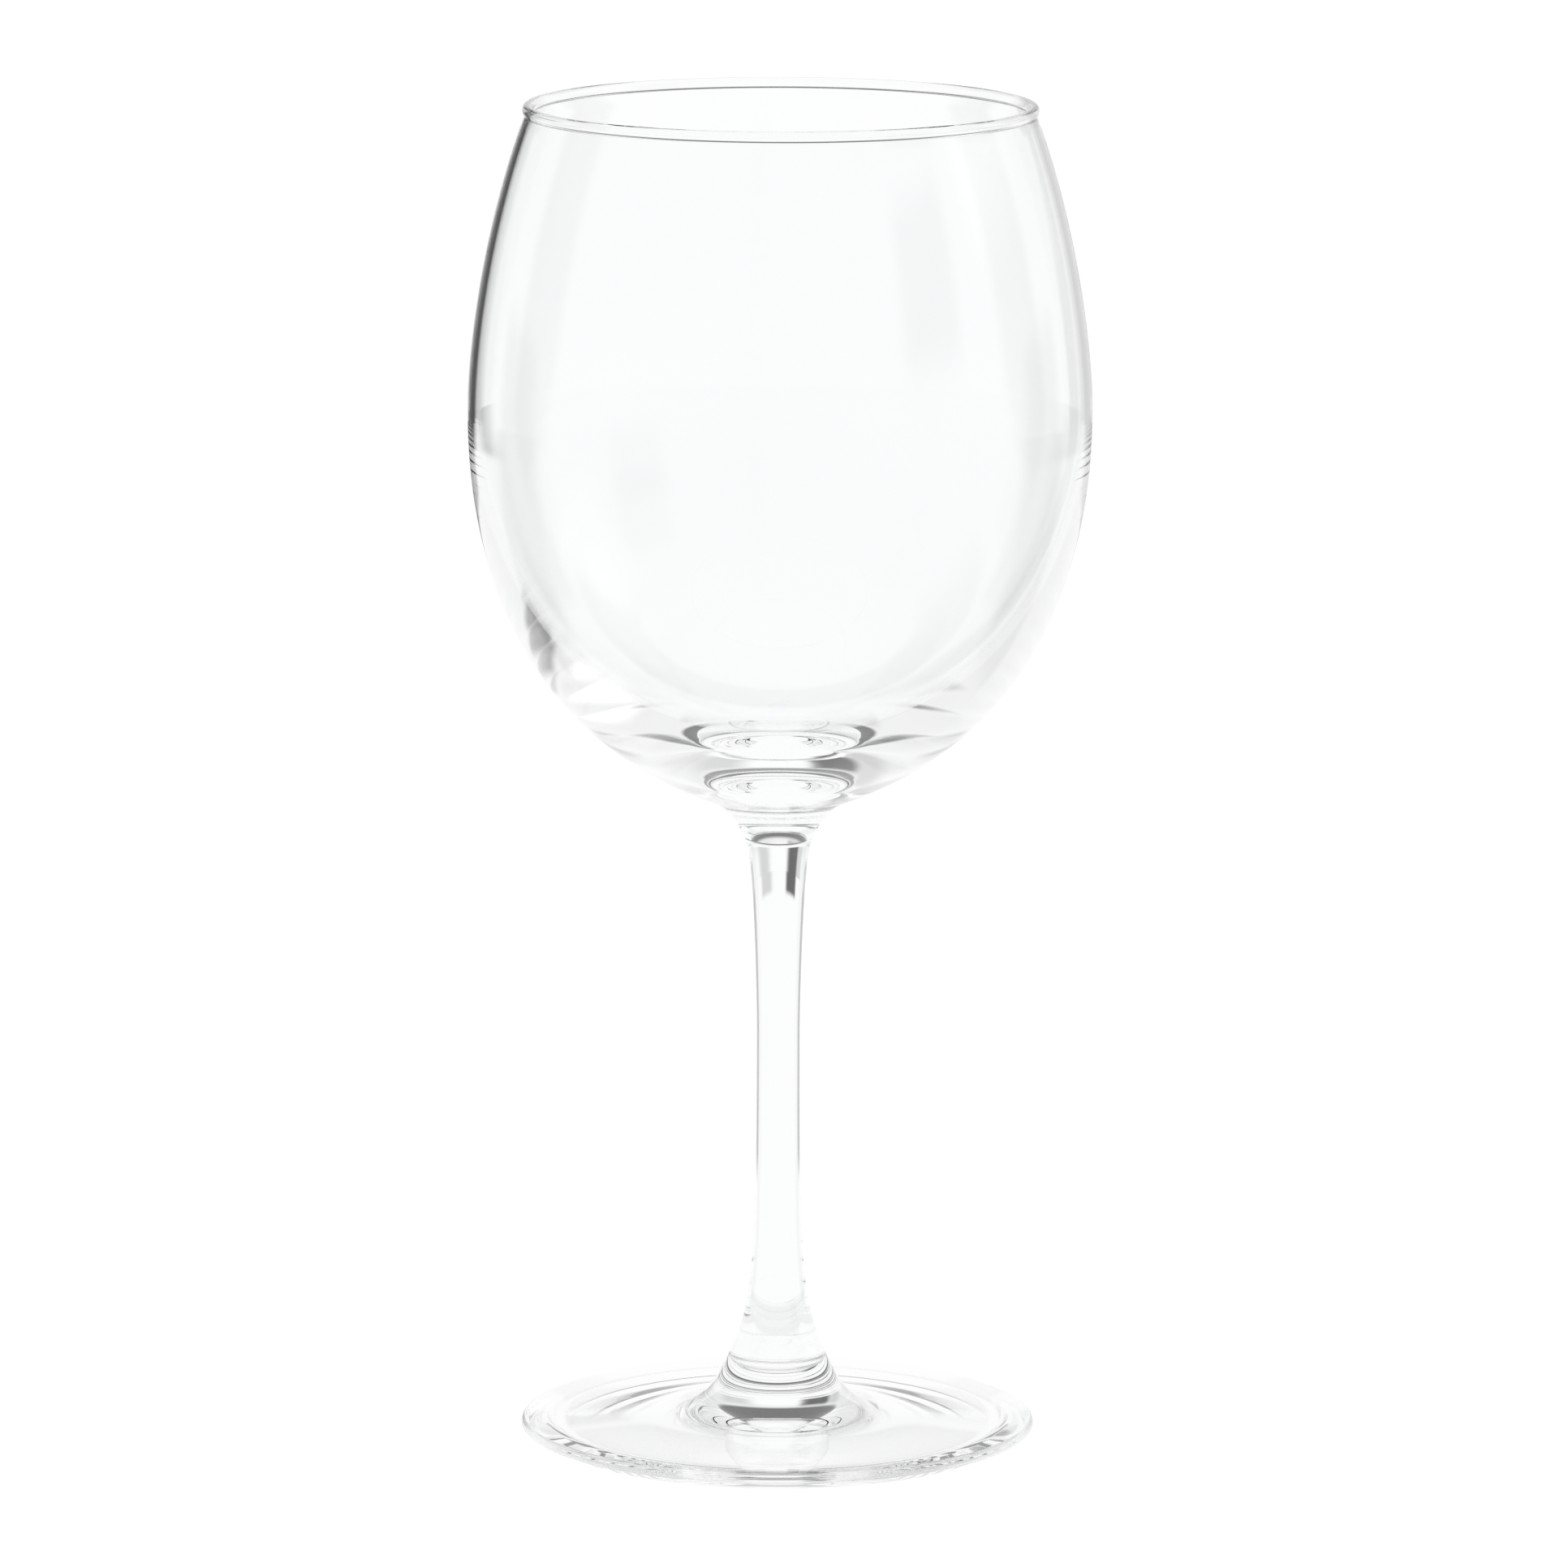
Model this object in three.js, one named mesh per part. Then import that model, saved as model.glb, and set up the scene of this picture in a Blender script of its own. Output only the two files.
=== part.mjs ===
// Stemmed wine glass with a wide, round cup. Three pieces of clear glass are fused end
// to end: the blown bowl, the drawn stem and the pressed foot. Every piece is a solid
// of revolution about the Z axis, which runs up from the table through the foot.
// Millimetres, +Z up, origin on the table under the centre of the foot.
import * as THREE from 'three';

// ---- Foot ----
const FOOT_RADIUS = 42.15;
const FOOT_HEIGHT = 14.0; // table to the seam between foot and stem
const FOOT_EDGE_THICKNESS = 1.8; // height of the rounded edge
const FOOT_EDGE_LIFT = 1.6; // gap between the table and the underside of the edge
const FOOT_RING_INSET = 4.4; // from the edge in to the flat ring that the glass stands on
const FOOT_RING_WIDTH = 2.4;
const FOOT_HOLLOW_HEIGHT = 2.6; // rise of the underside at the centre
const FOOT_CONE_RISE = 1.5; // rise of the shallow cone from the edge in to the hub
const FOOT_HUB_SPREAD = 9.15; // how far the hub's fillet runs out over the cone
const FOOT_HOLLOW_SLOPE = -8; // degrees, where the underside meets the resting ring
const FOOT_EDGE_SLOPE = 175; // degrees, where the cone leaves the rounded edge
const FOOT_CONE_SLOPE = 171; // degrees, where the cone runs into the hub
const FOOT_SEAM_SLOPE = 114; // degrees, shared by the foot and the stem at their seam

// ---- Stem ----
const STEM_LENGTH = 85.2; // seam to seam
const STEM_WAIST_RADIUS = 3.55;
const STEM_WAIST_RISE = 54.5; // from the foot seam up to the thinnest level
const STEM_FOOT_RADIUS = 7.85; // shared by the stem and the foot at their seam
const STEM_BOWL_RADIUS = 5.4; // shared by the stem and the bowl at their seam
const STEM_BOWL_SLOPE = 65; // degrees, where the stem's flare reaches the bowl's seam

// ---- Bowl ----
const NECK_RISE = 7.7; // from the bowl seam up to where the cup spreads
const NECK_RADIUS = 13.1; // radius where the cup spreads
const CUP_LOWER_HEIGHT = 63.4; // from the top of the neck up to the widest level
const CUP_UPPER_HEIGHT = 49.7; // from the widest level up to the top of the rim
const BELLY_RADIUS = 50.65;
const RIM_RADIUS = 41.75;
const RIM_BEAD_WIDTH = 1.82; // radial width of the rolled lip
const RIM_BEAD_HEIGHT = 2.0;
const RIM_BEAD_STEP = 0.32; // how far the lip stands proud of the wall outside
const RIM_WALL = 1.15; // wall just under the lip
const BELLY_WALL = 1.3; // wall at the widest level
const CUP_FLOOR_THICKNESS = 7.0; // glass from the top of the neck up to the cup's floor
const NECK_SLOPE = 68; // degrees, where the neck leaves the stem's seam
const CUP_START_SLOPE = 22; // degrees, where the neck turns out into the cup
const UNDER_LIP_SLOPE = 110; // degrees, where the wall reaches the lip
const BEAD_REACH = 50; // degrees that the lip's bead wraps below its widest level

// ---- Levels along the axis ----
const STEM_SEAM_Z = FOOT_HEIGHT;
const BOWL_SEAM_Z = STEM_SEAM_Z + STEM_LENGTH;
const NECK_TOP_Z = BOWL_SEAM_Z + NECK_RISE;
const BELLY_Z = NECK_TOP_Z + CUP_LOWER_HEIGHT;
const RIM_Z = BELLY_Z + CUP_UPPER_HEIGHT;
const CUP_FLOOR_Z = NECK_TOP_Z + CUP_FLOOR_THICKNESS;

// ---- How finely the curves are cut ----
const AROUND = 64;
const ALONG = 9;

// ---- Directions along an outline, in degrees up from straight out ----
const LEVEL_OUT = 0;
const STRAIGHT_UP = 90;
const LEVEL_IN = 180;
const STRAIGHT_DOWN = -90;

const GLASS_COLOUR = 0xf4f8f8;

// Point at a distance from another one, in a direction measured up from outwards.
function step(point, degrees, length) {
  const angle = THREE.MathUtils.degToRad(degrees);
  return new THREE.Vector2(
    point.x + Math.cos(angle) * length,
    point.y + Math.sin(angle) * length,
  );
}

// Smooth curve from the end of the outline to a point. The directions are the ones in
// which the curve leaves and arrives, and the pulls are shares of the span it crosses.
function sweepTo(outline, leaving, leavePull, end, arriving, arrivePull) {
  const start = outline.currentPoint.clone();
  const span = start.distanceTo(end);
  const first = step(start, leaving, span * leavePull);
  const second = step(end, arriving + 180, span * arrivePull);
  outline.bezierCurveTo(first.x, first.y, second.x, second.y, end.x, end.y);
}

// Solid of revolution about Z from an outline of radius and height.
function turned(name, outline) {
  const geometry = new THREE.LatheGeometry(outline.getPoints(ALONG), AROUND);
  geometry.rotateX(Math.PI / 2);
  const glass = new THREE.MeshStandardMaterial({
    color: GLASS_COLOUR,
    roughness: 0.05,
    metalness: 0,
    transparent: true,
    opacity: 0.35,
  });
  const mesh = new THREE.Mesh(geometry, glass);
  mesh.name = name;
  return mesh;
}

// Pressed disc: hollow underside, flat resting ring, rounded edge, shallow cone on top
// and a fillet that climbs to the seam with the stem.
function makeFoot() {
  const outline = new THREE.Path();
  const ringOuter = FOOT_RADIUS - FOOT_RING_INSET;
  const ringInner = ringOuter - FOOT_RING_WIDTH;
  const edgeHalf = FOOT_EDGE_THICKNESS / 2;
  const edgeMiddleZ = FOOT_EDGE_LIFT + edgeHalf;
  const edgeRound = FOOT_RADIUS - edgeHalf;
  const hubFoot = new THREE.Vector2(
    STEM_FOOT_RADIUS + FOOT_HUB_SPREAD,
    FOOT_EDGE_LIFT + FOOT_EDGE_THICKNESS + FOOT_CONE_RISE,
  );
  const seamEdge = new THREE.Vector2(STEM_FOOT_RADIUS, FOOT_HEIGHT);
  outline.moveTo(0, FOOT_HOLLOW_HEIGHT);
  sweepTo(outline, LEVEL_OUT, 0.5, new THREE.Vector2(ringInner, 0), FOOT_HOLLOW_SLOPE, 0.3);
  outline.lineTo(ringOuter, 0);
  outline.lineTo(edgeRound, FOOT_EDGE_LIFT);
  outline.absellipse(edgeRound, edgeMiddleZ, edgeHalf, edgeHalf, -Math.PI / 2, Math.PI / 2);
  sweepTo(outline, FOOT_EDGE_SLOPE, 0.35, hubFoot, FOOT_CONE_SLOPE, 0.3);
  sweepTo(outline, FOOT_CONE_SLOPE, 0.42, seamEdge, FOOT_SEAM_SLOPE, 0.4);
  outline.lineTo(0, FOOT_HEIGHT);
  return turned('foot', outline);
}

// Drawn rod, thinnest above its middle, flaring at both ends to meet its neighbours.
function makeStem() {
  const outline = new THREE.Path();
  const waist = new THREE.Vector2(STEM_WAIST_RADIUS, STEM_SEAM_Z + STEM_WAIST_RISE);
  const seamEdge = new THREE.Vector2(STEM_BOWL_RADIUS, BOWL_SEAM_Z);
  outline.moveTo(0, STEM_SEAM_Z);
  outline.lineTo(STEM_FOOT_RADIUS, STEM_SEAM_Z);
  sweepTo(outline, FOOT_SEAM_SLOPE, 0.18, waist, STRAIGHT_UP, 0.7);
  sweepTo(outline, STRAIGHT_UP, 0.1, seamEdge, STEM_BOWL_SLOPE, 0.11);
  outline.lineTo(0, BOWL_SEAM_Z);
  return turned('stem', outline);
}

// Blown cup with a thick floor. The outside climbs the neck, spreads to the belly and
// draws in to the rolled lip. The inside comes back down to the floor.
function makeBowl() {
  const outline = new THREE.Path();
  const neckTop = new THREE.Vector2(NECK_RADIUS, NECK_TOP_Z);
  const belly = new THREE.Vector2(BELLY_RADIUS, BELLY_Z);
  const lipMiddle = new THREE.Vector2(
    RIM_RADIUS - RIM_BEAD_WIDTH / 2,
    RIM_Z - RIM_BEAD_HEIGHT / 2,
  );
  const underLip = new THREE.Vector2(RIM_RADIUS - RIM_BEAD_STEP, RIM_Z - RIM_BEAD_HEIGHT);
  const underLipInside = new THREE.Vector2(underLip.x - RIM_WALL, underLip.y);
  const bellyInside = new THREE.Vector2(BELLY_RADIUS - BELLY_WALL, BELLY_Z);
  outline.moveTo(0, BOWL_SEAM_Z);
  outline.lineTo(STEM_BOWL_RADIUS, BOWL_SEAM_Z);
  sweepTo(outline, NECK_SLOPE, 0.55, neckTop, CUP_START_SLOPE, 0.38);
  sweepTo(outline, CUP_START_SLOPE, 0.39, belly, STRAIGHT_UP, 0.39);
  sweepTo(outline, STRAIGHT_UP, 0.15, underLip, UNDER_LIP_SLOPE, 0.45);
  outline.absellipse(
    lipMiddle.x, lipMiddle.y, RIM_BEAD_WIDTH / 2, RIM_BEAD_HEIGHT / 2,
    THREE.MathUtils.degToRad(-BEAD_REACH), THREE.MathUtils.degToRad(180 + BEAD_REACH),
  );
  outline.lineTo(underLipInside.x, underLipInside.y);
  sweepTo(outline, UNDER_LIP_SLOPE - 180, 0.45, bellyInside, STRAIGHT_DOWN, 0.15);
  sweepTo(outline, STRAIGHT_DOWN, 0.4, new THREE.Vector2(0, CUP_FLOOR_Z), LEVEL_IN, 0.42);
  return turned('bowl', outline);
}

const wineGlass = new THREE.Group();
wineGlass.name = 'wine_glass';
wineGlass.add(makeFoot(), makeStem(), makeBowl());

export default wineGlass;
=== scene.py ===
# Clear, stemmed wine glass: a blown bowl, a drawn stem and a pressed foot, fused end to end.
import math

import bmesh
import bpy
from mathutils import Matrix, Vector
from mathutils.geometry import interpolate_bezier


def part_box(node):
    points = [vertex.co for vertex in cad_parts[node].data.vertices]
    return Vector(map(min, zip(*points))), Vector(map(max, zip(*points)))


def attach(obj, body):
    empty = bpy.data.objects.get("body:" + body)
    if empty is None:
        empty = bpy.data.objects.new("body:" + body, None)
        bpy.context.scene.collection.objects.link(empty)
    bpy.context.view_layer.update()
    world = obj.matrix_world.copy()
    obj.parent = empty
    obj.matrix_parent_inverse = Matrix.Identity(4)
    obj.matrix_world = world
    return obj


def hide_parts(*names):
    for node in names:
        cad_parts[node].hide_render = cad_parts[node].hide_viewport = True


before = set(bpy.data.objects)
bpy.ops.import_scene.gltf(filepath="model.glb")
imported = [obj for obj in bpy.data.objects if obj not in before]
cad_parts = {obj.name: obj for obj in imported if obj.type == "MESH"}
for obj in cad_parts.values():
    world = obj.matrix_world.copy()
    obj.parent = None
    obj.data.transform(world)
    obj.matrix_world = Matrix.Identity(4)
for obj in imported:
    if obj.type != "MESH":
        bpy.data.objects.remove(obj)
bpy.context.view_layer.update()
scene = bpy.context.scene

# ---- Camera ----
# A long lens stands well back from the table and looks slightly down on the glass.
# Nothing is out of focus, and the lens is not shifted.
CAMERA_BACK = 1.6653
CAMERA_HEIGHT = 0.4011
LOOK_DOWN = 9.959
CAMERA_ROLL = -0.16
LENS_LENGTH = 238.2
SENSOR_WIDTH = 36.0
lens = bpy.data.cameras.new("long_lens")
lens.sensor_width = SENSOR_WIDTH
lens.lens = LENS_LENGTH
camera = bpy.data.objects.new("camera", lens)
camera.location = (0.0, -CAMERA_BACK, CAMERA_HEIGHT)
camera.rotation_euler = (math.radians(90 - LOOK_DOWN), math.radians(CAMERA_ROLL), 0.0)
scene.collection.objects.link(camera)
scene.camera = camera

scene.view_settings.view_transform = "Standard"
scene.view_settings.look = "None"
LIGHT_BOUNCES = 64  # light runs a long way round inside the thin walls
scene.cycles.max_bounces = LIGHT_BOUNCES
scene.cycles.transmission_bounces = LIGHT_BOUNCES
scene.cycles.glossy_bounces = LIGHT_BOUNCES
scene.cycles.transparent_max_bounces = 16
scene.cycles.caustics_reflective = True
scene.cycles.caustics_refractive = True

# ---- Studio room ----
# White backdrop with an unlit wall over it, a black card to its left that draws the dark
# line down the bowl, and a soft lamp to its right. The camera itself sees plain white.
# Angles are degrees, to the right of the backdrop's middle and up from level.
BACKDROP_WHITE = 1.08
ROOM_LEVEL = 0.88
world = bpy.data.worlds.new("studio")
scene.world = world
world.use_nodes = True
room = world.node_tree
room.nodes.clear()


def math_node(tree, operation, *values):
    node = tree.nodes.new("ShaderNodeMath")
    node.operation = operation
    for socket, value in zip(node.inputs, values):
        if isinstance(value, (int, float)):
            socket.default_value = value
        else:
            tree.links.new(value, socket)
    return node.outputs[0]


def soft_window(tree, value, low, high, edge):
    """1 from low to high, fading to 0 over the edge outside them."""
    off_middle = math_node(tree, "ABSOLUTE", math_node(tree, "SUBTRACT", value, (low + high) / 2))
    fade = tree.nodes.new("ShaderNodeMapRange")
    fade.interpolation_type = "SMOOTHSTEP"
    fade.inputs["From Min"].default_value = (high - low) / 2 + edge
    fade.inputs["From Max"].default_value = (high - low) / 2
    tree.links.new(off_middle, fade.inputs["Value"])
    return fade.outputs["Result"]


def add_patch(tree, under, across, up, edge, span, rise, level):
    """Lays a soft-edged patch of another brightness over what is there already."""
    mask = math_node(tree, "MULTIPLY", soft_window(tree, across, *span, edge[0]),
                     soft_window(tree, up, *rise, edge[1]))
    mix = tree.nodes.new("ShaderNodeMix")
    tree.links.new(mask, mix.inputs["Factor"])
    if isinstance(under, (int, float)):
        mix.inputs["A"].default_value = under
    else:
        tree.links.new(under, mix.inputs["A"])
    mix.inputs["B"].default_value = level
    return mix.outputs["Result"]


def plain_to_camera(tree, shader, output, glow):
    """Shows the camera an even white, and the glass the patches of brightness."""
    lit = tree.nodes.new(shader)
    tree.links.new(glow, lit.inputs["Strength"])
    plain = tree.nodes.new(shader)
    plain.inputs["Strength"].default_value = BACKDROP_WHITE
    for glowing in (lit, plain):
        glowing.inputs["Color"].default_value = (1.0, 1.0, 1.0, 1.0)
    seen_by = tree.nodes.new("ShaderNodeLightPath")
    either = tree.nodes.new("ShaderNodeMixShader")
    end = tree.nodes.new(output)
    tree.links.new(seen_by.outputs["Is Camera Ray"], either.inputs["Fac"])
    tree.links.new(lit.outputs[0], either.inputs[1])
    tree.links.new(plain.outputs[0], either.inputs[2])
    tree.links.new(either.outputs["Shader"], end.inputs["Surface"])


looking = room.nodes.new("ShaderNodeTexCoord")
parts = room.nodes.new("ShaderNodeSeparateXYZ")
room.links.new(looking.outputs["Generated"], parts.inputs["Vector"])
turn = math_node(room, "DEGREES", math_node(room, "ARCTAN2", parts.outputs["X"], parts.outputs["Y"]))
lift = math_node(room, "DEGREES", math_node(room, "ARCSINE", parts.outputs["Z"]))
glow = ROOM_LEVEL
for edge, span, rise, level in (
    ((30, 12), (-200, 200), (-100, -3), 0.98),  # the table, past the edge of the sheet
    ((30, 5), (-60, 60), (24, 42), 0.14),  # unlit wall over the backdrop
    ((30, 10), (-200, 200), (56, 100), 1.00),  # white ceiling
    ((10, 4), (-72, -60), (-7, -1), 0.50),  # far side of the table, left
    ((10, 4), (60, 72), (-7, -1), 0.50),  # far side of the table, right
    ((7, 8), (-34, -24), (-16, 14), 0.66),  # shade beyond the black card
    ((5, 8), (-25, -13), (-20, 14), 0.09),  # black card
    ((12, 10), (14, 24), (-14, 12), 0.66),  # gap between the backdrop and the lamp
    ((11, 8), (-5, 7), (-16, 12), 1.00),  # backdrop
    ((16, 12), (70, 88), (18, 34), 1.30),  # soft lamp
    ((8, 8), (112, 128), (8, 18), 0.25),  # dark doorway behind the lamp
):
    glow = add_patch(room, glow, turn, lift, edge, span, rise, level)
plain_to_camera(room, "ShaderNodeBackground", "ShaderNodeOutputWorld", glow)

# ---- Table top ----
# White glowing sheet that the glass stands on. Painted shade makes its glow darker at both sides,
# at the foot of the black card and in the gap before the lamp, which only the glass shows.
# Angles are as in the room, and distances are metres from the glass.
TABLE_RADIUS = 1.2
TABLE_DROP = 0.0001
TABLE_LEVEL = 0.99
bm = bmesh.new()
bmesh.ops.create_circle(bm, cap_ends=True, radius=TABLE_RADIUS, segments=96)
bmesh.ops.translate(bm, verts=bm.verts, vec=(0, 0, -TABLE_DROP))
mesh = bpy.data.meshes.new("table_top")
bm.to_mesh(mesh)
bm.free()
table_top = bpy.data.objects.new("table_top", mesh)
scene.collection.objects.link(table_top)
sheet_with_painted_shade = bpy.data.materials.new("sheet_with_painted_shade")
sheet_with_painted_shade.use_nodes = True
sheet = sheet_with_painted_shade.node_tree
sheet.nodes.clear()
place = sheet.nodes.new("ShaderNodeTexCoord")
spot = sheet.nodes.new("ShaderNodeSeparateXYZ")
sheet.links.new(place.outputs["Object"], spot.inputs["Vector"])
turn = math_node(sheet, "DEGREES", math_node(sheet, "ARCTAN2", spot.outputs["X"], spot.outputs["Y"]))
flat = sheet.nodes.new("ShaderNodeVectorMath")
flat.operation = "LENGTH"
sheet.links.new(place.outputs["Object"], flat.inputs[0])
glow = TABLE_LEVEL
for edge, span, near, level in (
    ((8, 0.05), (-76, -58), (0.21, 1.3), 0.36),  # painted shade on the sheet's left, standing in for the dark room past it
    ((8, 0.05), (58, 76), (0.21, 1.3), 0.36),  # painted shade on the sheet's right, standing in for the dark room past it
    ((5, 0.08), (-25, -13), (0.85, 1.3), 0.09),  # painted dark patch on the sheet, for the foot of the black card
    ((8, 0.08), (14, 24), (0.85, 1.3), 0.66),  # painted shade on the sheet in the gap between the backdrop and the lamp
):
    glow = add_patch(sheet, glow, turn, flat.outputs["Value"], edge, span, near, level)
plain_to_camera(sheet, "ShaderNodeEmission", "ShaderNodeOutputMaterial", glow)
mesh.materials.append(sheet_with_painted_shade)

# ---- Pressed foot ----
# Disc of clear glass, pressed from a hot gather. It has a rounded edge, a shallow cone
# on top that climbs to the stem, and a hollow underside inside a flat resting ring.
MM = 0.001
AROUND = 256
FOOT_RADIUS = 42.15
FOOT_EDGE_THICKNESS = 1.8
FOOT_EDGE_LIFT = 1.6
FOOT_RING_INSET = 4.4
FOOT_RING_WIDTH = 2.4
FOOT_HOLLOW_HEIGHT = 2.6
FOOT_CONE_RISE = 1.5
FOOT_HUB_SPREAD = 9.15
STEM_FOOT_RADIUS = 7.85
GLASS_INDEX = 1.5
# Slopes are degrees: 0 runs outwards, 90 straight up.
FOOT_HOLLOW_SLOPE = -8
FOOT_EDGE_SLOPE = 175
FOOT_CONE_SLOPE = 171
FOOT_SEAM_SLOPE = 114
foot_seam_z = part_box("foot")[1].z / MM


class Outline:
    """Half section in millimetres, radius and height, from the axis round to the axis."""

    def __init__(self, radius, height):
        self.points = [Vector((radius, 0, height))]

    def line(self, radius, height):
        self.points.append(Vector((radius, 0, height)))

    def sweep(self, leaving, leave_pull, radius, height, arriving, arrive_pull, steps=30):
        start, end = self.points[-1], Vector((radius, 0, height))
        span = (end - start).length
        a, b = math.radians(leaving), math.radians(arriving)
        first = start + Vector((math.cos(a), 0, math.sin(a))) * span * leave_pull
        second = end - Vector((math.cos(b), 0, math.sin(b))) * span * arrive_pull
        self.points += interpolate_bezier(start, first, second, end, steps + 1)[1:]

    def round(self, radius, height, half_width, half_height, start, end, steps=20):
        for i in range(steps + 1):
            a = math.radians(start + (end - start) * i / steps)
            self.line(radius + half_width * math.cos(a), height + half_height * math.sin(a))


def turned(name, outline, finish, seams):
    """Spins the outline about the axis. Faces at the seams let light straight through."""
    bm = bmesh.new()
    verts = [bm.verts.new(p * MM) for p in outline.points]
    edges = [bm.edges.new(pair) for pair in zip(verts, verts[1:])]
    bmesh.ops.spin(bm, geom=verts + edges, cent=(0, 0, 0), axis=(0, 0, 1), angle=math.tau,
                   steps=AROUND, use_merge=True)
    bmesh.ops.remove_doubles(bm, verts=bm.verts, dist=1e-7)
    bmesh.ops.recalc_face_normals(bm, faces=bm.faces)
    for face in bm.faces:
        face.smooth = True
    for hub in bm.verts:
        if hub.co.xy.length < 1e-9 and any(abs(hub.co.z - z * MM) < 1e-6 for z in seams):
            for face in hub.link_faces:
                face.material_index = 1
                face.smooth = False
    mesh = bpy.data.meshes.new(name)
    bm.to_mesh(mesh)
    bm.free()
    mesh.materials.append(finish)
    mesh.materials.append(fused_face)
    piece = bpy.data.objects.new(name, mesh)
    scene.collection.objects.link(piece)
    return piece


def worked_surface():
    """Slow ripples, faint tint and traces of haze that hot working leaves in clear glass."""
    group = bpy.data.node_groups.new("worked_surface", "ShaderNodeTree")
    face = group.interface
    stretch = face.new_socket("Stretch", in_out="INPUT", socket_type="NodeSocketVector")
    stretch.default_value = (1.0, 1.0, 1.0)
    for label, value in (("Ripple Scale", 60.0), ("Ripple Depth", 1e-5), ("Haze", 0.01)):
        face.new_socket(label, in_out="INPUT", socket_type="NodeSocketFloat").default_value = value
    face.new_socket("Colour", in_out="OUTPUT", socket_type="NodeSocketColor")
    face.new_socket("Roughness", in_out="OUTPUT", socket_type="NodeSocketFloat")
    face.new_socket("Height", in_out="OUTPUT", socket_type="NodeSocketFloat")
    given = group.nodes.new("NodeGroupInput")
    gives = group.nodes.new("NodeGroupOutput")
    where = group.nodes.new("ShaderNodeTexCoord")
    drawn = group.nodes.new("ShaderNodeVectorMath")
    drawn.operation = "MULTIPLY"
    group.links.new(where.outputs["Object"], drawn.inputs[0])
    group.links.new(given.outputs["Stretch"], drawn.inputs[1])
    ripple = group.nodes.new("ShaderNodeTexNoise")
    ripple.inputs["Detail"].default_value = 1.5
    ripple.inputs["Roughness"].default_value = 0.35
    group.links.new(drawn.outputs["Vector"], ripple.inputs["Vector"])
    group.links.new(given.outputs["Ripple Scale"], ripple.inputs["Scale"])
    group.links.new(math_node(group, "MULTIPLY", ripple.outputs["Fac"], given.outputs["Ripple Depth"]),
                    gives.inputs["Height"])
    traces = group.nodes.new("ShaderNodeTexNoise")
    traces.inputs["Scale"].default_value = 35.0
    traces.inputs["Detail"].default_value = 5.0
    group.links.new(where.outputs["Object"], traces.inputs["Vector"])
    patchy = group.nodes.new("ShaderNodeMapRange")
    patchy.inputs["From Min"].default_value = 0.56
    patchy.inputs["From Max"].default_value = 0.74
    group.links.new(traces.outputs["Fac"], patchy.inputs["Value"])
    group.links.new(math_node(group, "MULTIPLY", patchy.outputs["Result"], given.outputs["Haze"]),
                    gives.inputs["Roughness"])
    tint = group.nodes.new("ShaderNodeMix")
    tint.data_type = "RGBA"
    tint.inputs["A"].default_value = (0.992, 0.996, 0.998, 1.0)
    tint.inputs["B"].default_value = (0.982, 0.987, 0.990, 1.0)
    group.links.new(traces.outputs["Fac"], tint.inputs["Factor"])
    group.links.new(tint.outputs["Result"], gives.inputs["Colour"])
    return group


def clear_glass(name, stretch, ripple_scale, ripple_depth, haze):
    material = bpy.data.materials.new(name)
    material.use_nodes = True
    tree = material.node_tree
    shader = tree.nodes["Principled BSDF"]
    shader.inputs["IOR"].default_value = GLASS_INDEX
    shader.inputs["Transmission Weight"].default_value = 1.0
    surface = tree.nodes.new("ShaderNodeGroup")
    surface.node_tree = surface_group
    surface.inputs["Stretch"].default_value = stretch
    surface.inputs["Ripple Scale"].default_value = ripple_scale
    surface.inputs["Ripple Depth"].default_value = ripple_depth
    surface.inputs["Haze"].default_value = haze
    bump = tree.nodes.new("ShaderNodeBump")
    bump.inputs["Distance"].default_value = 1.0
    tree.links.new(surface.outputs["Colour"], shader.inputs["Base Color"])
    tree.links.new(surface.outputs["Roughness"], shader.inputs["Roughness"])
    tree.links.new(surface.outputs["Height"], bump.inputs["Height"])
    tree.links.new(bump.outputs["Normal"], shader.inputs["Normal"])
    return material


surface_group = worked_surface()
fused_face = bpy.data.materials.new("fused_face")
fused_face.use_nodes = True
joint = fused_face.node_tree
joint.nodes.clear()
through = joint.nodes.new("ShaderNodeBsdfTransparent")
joint_out = joint.nodes.new("ShaderNodeOutputMaterial")
joint.links.new(through.outputs["BSDF"], joint_out.inputs["Surface"])

pressed_glass = clear_glass("pressed_glass", (1.0, 1.0, 1.0), 70.0, 1.2e-5, 0.012)
ring_outer = FOOT_RADIUS - FOOT_RING_INSET
edge_half = FOOT_EDGE_THICKNESS / 2
section = Outline(0, FOOT_HOLLOW_HEIGHT)
section.sweep(0, 0.5, ring_outer - FOOT_RING_WIDTH, 0, FOOT_HOLLOW_SLOPE, 0.3)
section.line(ring_outer, 0)
section.line(FOOT_RADIUS - edge_half, FOOT_EDGE_LIFT)
section.round(FOOT_RADIUS - edge_half, FOOT_EDGE_LIFT + edge_half, edge_half, edge_half, -90, 90)
section.sweep(FOOT_EDGE_SLOPE, 0.35, STEM_FOOT_RADIUS + FOOT_HUB_SPREAD,
              FOOT_EDGE_LIFT + FOOT_EDGE_THICKNESS + FOOT_CONE_RISE, FOOT_CONE_SLOPE, 0.3)
section.sweep(FOOT_CONE_SLOPE, 0.42, STEM_FOOT_RADIUS, foot_seam_z, FOOT_SEAM_SLOPE, 0.4)
section.line(0, foot_seam_z)
pressed_foot = turned("pressed_foot", section, pressed_glass, (foot_seam_z,))
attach(pressed_foot, "root")
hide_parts("foot")

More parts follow.
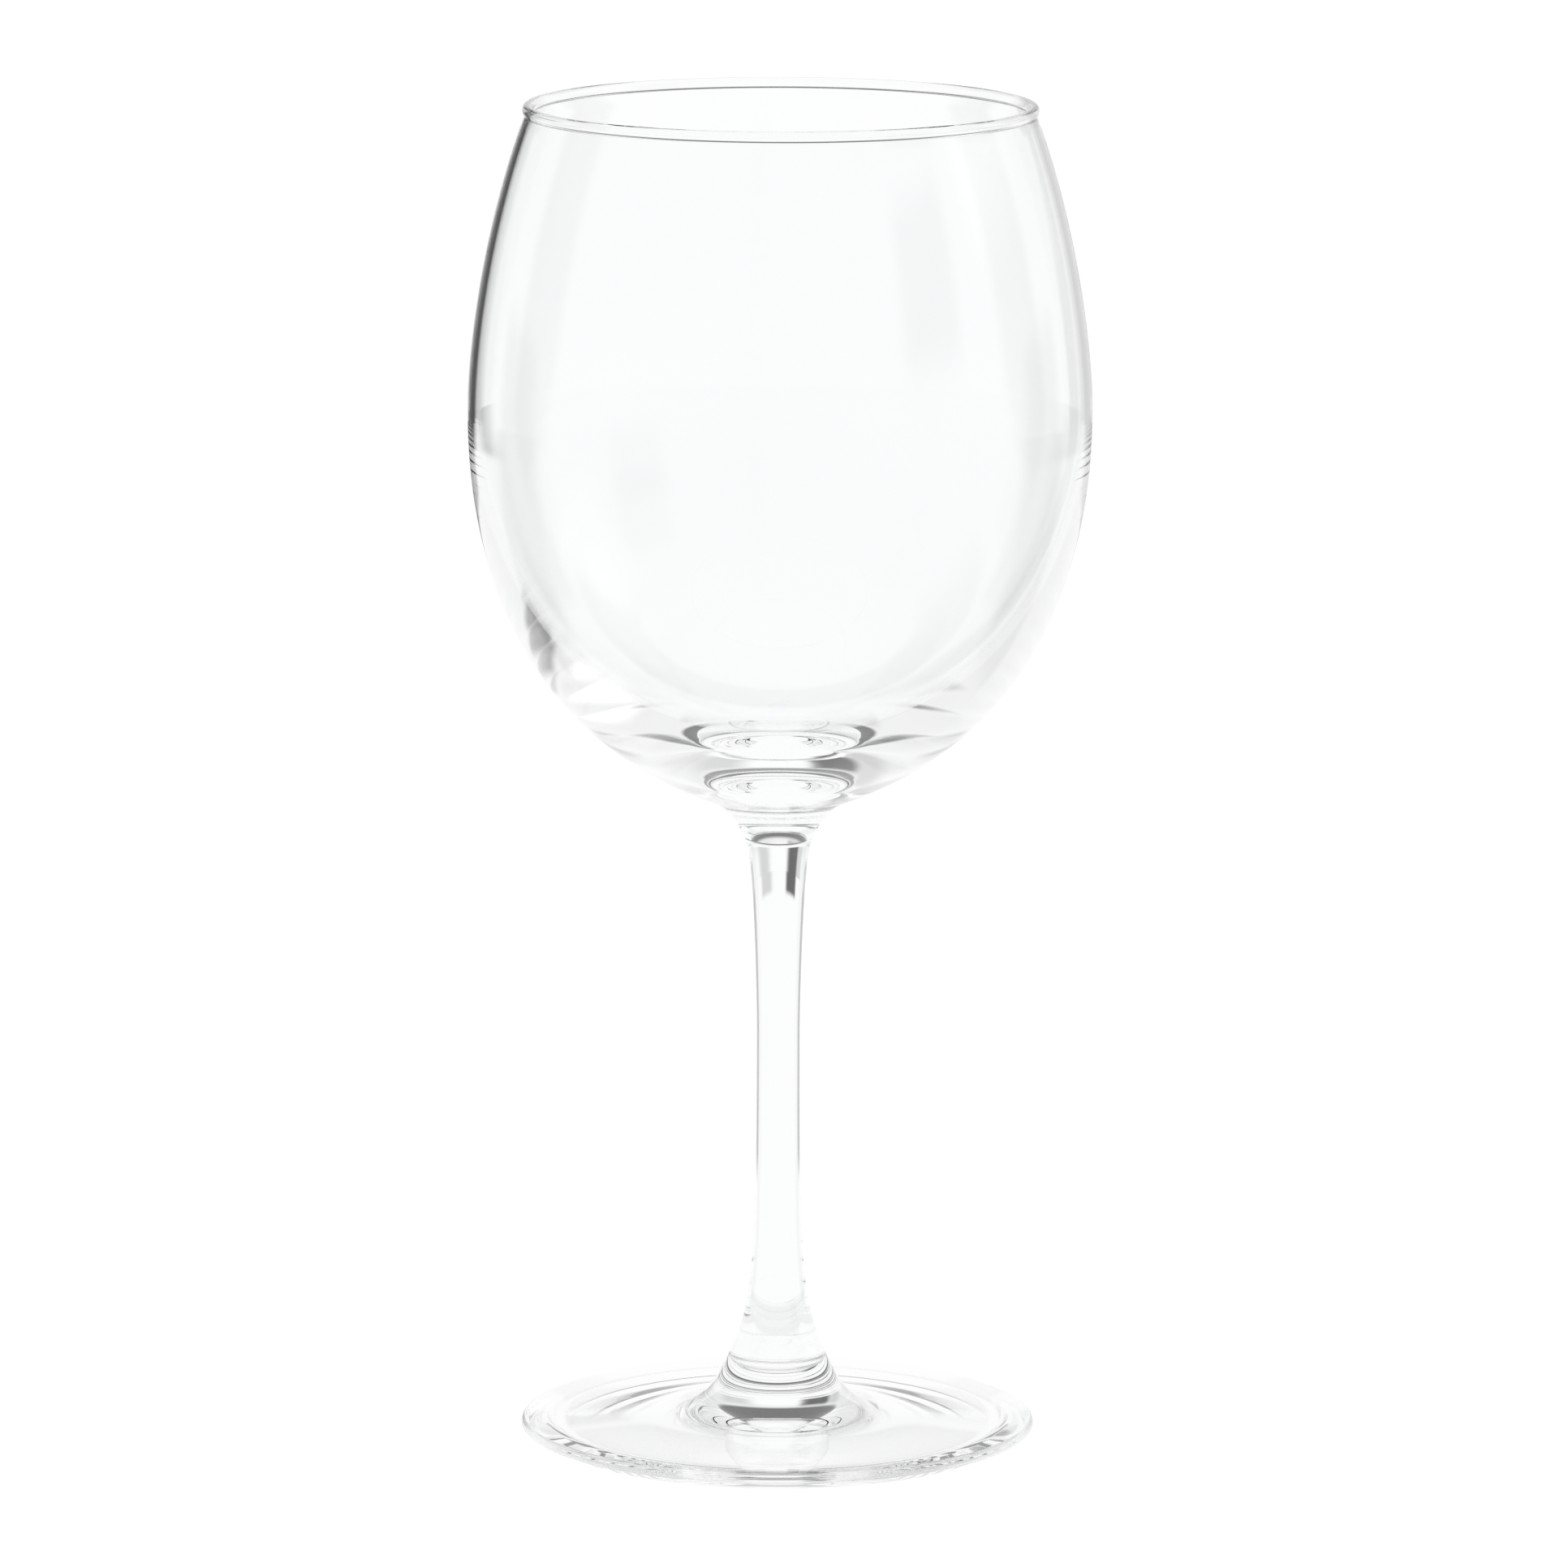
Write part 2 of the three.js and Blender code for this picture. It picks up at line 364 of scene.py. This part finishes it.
# ---- Drawn stem ----
# Solid rod of the same glass, drawn down from the bowl while hot, so it is thinnest
# above its middle. It is fused to the foot below and to the bowl above.
STEM_WAIST_RADIUS = 3.55
STEM_WAIST_RISE = 54.5
STEM_BOWL_RADIUS = 5.4
STEM_BOWL_SLOPE = 65
bowl_seam_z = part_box("bowl")[0].z / MM
drawn_glass = clear_glass("drawn_glass", (1.0, 1.0, 0.12), 160.0, 4e-6, 0.006)
section = Outline(0, foot_seam_z)
section.line(STEM_FOOT_RADIUS, foot_seam_z)
section.sweep(FOOT_SEAM_SLOPE, 0.18, STEM_WAIST_RADIUS, foot_seam_z + STEM_WAIST_RISE, 90, 0.7, 50)
section.sweep(90, 0.1, STEM_BOWL_RADIUS, bowl_seam_z, STEM_BOWL_SLOPE, 0.11, 40)
section.line(0, bowl_seam_z)
drawn_stem = turned("drawn_stem", section, drawn_glass, (foot_seam_z, bowl_seam_z))
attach(drawn_stem, "root")
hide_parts("stem")

# ---- Blown bowl ----
# Thin cup of clear glass, blown wide and round, with a thick bottom where it meets the
# stem. The lip is cracked off and fire-polished, which rolls it into a small bead.
NECK_RISE = 7.7
NECK_RADIUS = 13.1
CUP_LOWER_HEIGHT = 63.4
BELLY_RADIUS = 50.65
RIM_RADIUS = 41.75
RIM_BEAD_WIDTH = 1.82
RIM_BEAD_HEIGHT = 2.0
RIM_BEAD_STEP = 0.32
RIM_WALL = 1.15
BELLY_WALL = 1.3
CUP_FLOOR_THICKNESS = 7.0
NECK_SLOPE = 68
CUP_START_SLOPE = 22
UNDER_LIP_SLOPE = 110
BEAD_REACH = 50
rim_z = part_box("bowl")[1].z / MM
neck_top_z = bowl_seam_z + NECK_RISE
belly_z = neck_top_z + CUP_LOWER_HEIGHT
blown_glass = clear_glass("blown_glass", (1.0, 1.0, 2.2), 26.0, 1.5e-5, 0.008)
under_lip = RIM_RADIUS - RIM_BEAD_STEP
section = Outline(0, bowl_seam_z)
section.line(STEM_BOWL_RADIUS, bowl_seam_z)
section.sweep(NECK_SLOPE, 0.55, NECK_RADIUS, neck_top_z, CUP_START_SLOPE, 0.38, 24)
section.sweep(CUP_START_SLOPE, 0.39, BELLY_RADIUS, belly_z, 90, 0.39, 56)
section.sweep(90, 0.15, under_lip, rim_z - RIM_BEAD_HEIGHT, UNDER_LIP_SLOPE, 0.45, 40)
section.round(RIM_RADIUS - RIM_BEAD_WIDTH / 2, rim_z - RIM_BEAD_HEIGHT / 2, RIM_BEAD_WIDTH / 2,
              RIM_BEAD_HEIGHT / 2, -BEAD_REACH, 180 + BEAD_REACH)
section.line(under_lip - RIM_WALL, rim_z - RIM_BEAD_HEIGHT)
section.sweep(UNDER_LIP_SLOPE - 180, 0.45, BELLY_RADIUS - BELLY_WALL, belly_z, -90, 0.15, 40)
section.sweep(-90, 0.40, 0, neck_top_z + CUP_FLOOR_THICKNESS, 180, 0.42, 60)
blown_bowl = turned("blown_bowl", section, blown_glass, (bowl_seam_z,))
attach(blown_bowl, "root")
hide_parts("bowl")
